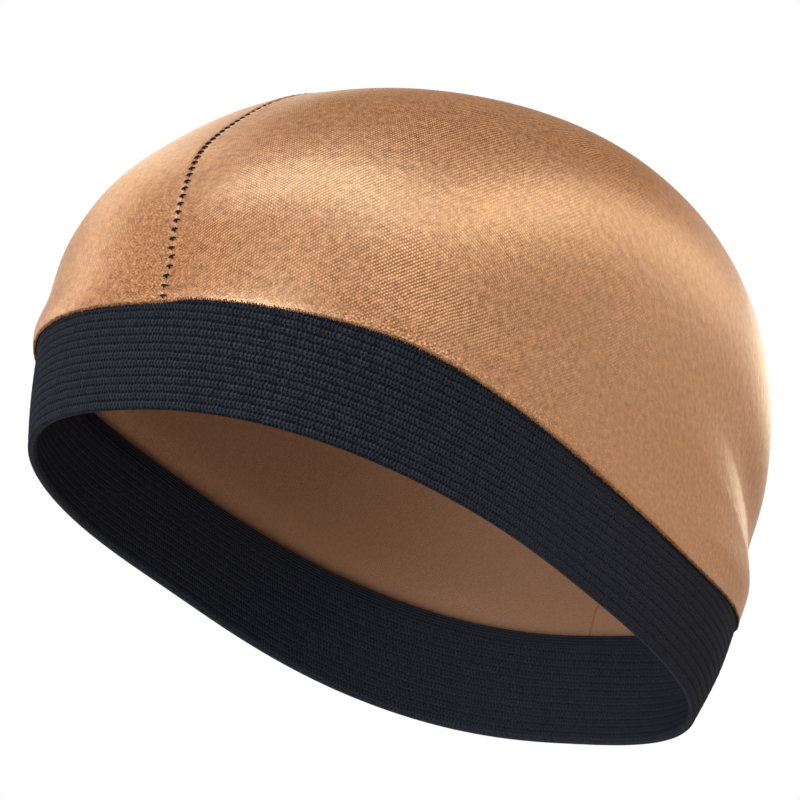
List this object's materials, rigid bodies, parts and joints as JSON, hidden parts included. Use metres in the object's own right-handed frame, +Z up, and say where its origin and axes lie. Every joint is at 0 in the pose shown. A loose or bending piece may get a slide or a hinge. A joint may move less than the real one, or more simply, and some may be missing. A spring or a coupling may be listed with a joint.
{
  "type": "wig cap",
  "caption": "Close-fitting dome cap of stretch satin panels joined by a stitched centre seam, on a wide knitted elastic band that grips the head.",
  "frame": {"origin": "middle of the head opening, in the plane of the band's lower edge, where the band grips the head", "axes": "+Z up on an upright head, +X to the wearer's left, -Y to the face; the rim slopes down to the nape by about 24.5 degrees"},
  "size_m": [0.1523, 0.2084, 0.1692],
  "materials": {
    "satin": "glossy copper-brown stretch satin with a soft sheen",
    "knitted_elastic": "matt near-black navy knitted elastic with fine lengthwise ribs"
  },
  "bodies": {
    "root": {"crown_left": "satin", "crown_right": "satin", "elastic_band": "knitted_elastic"}
  },
  "joints": []
}
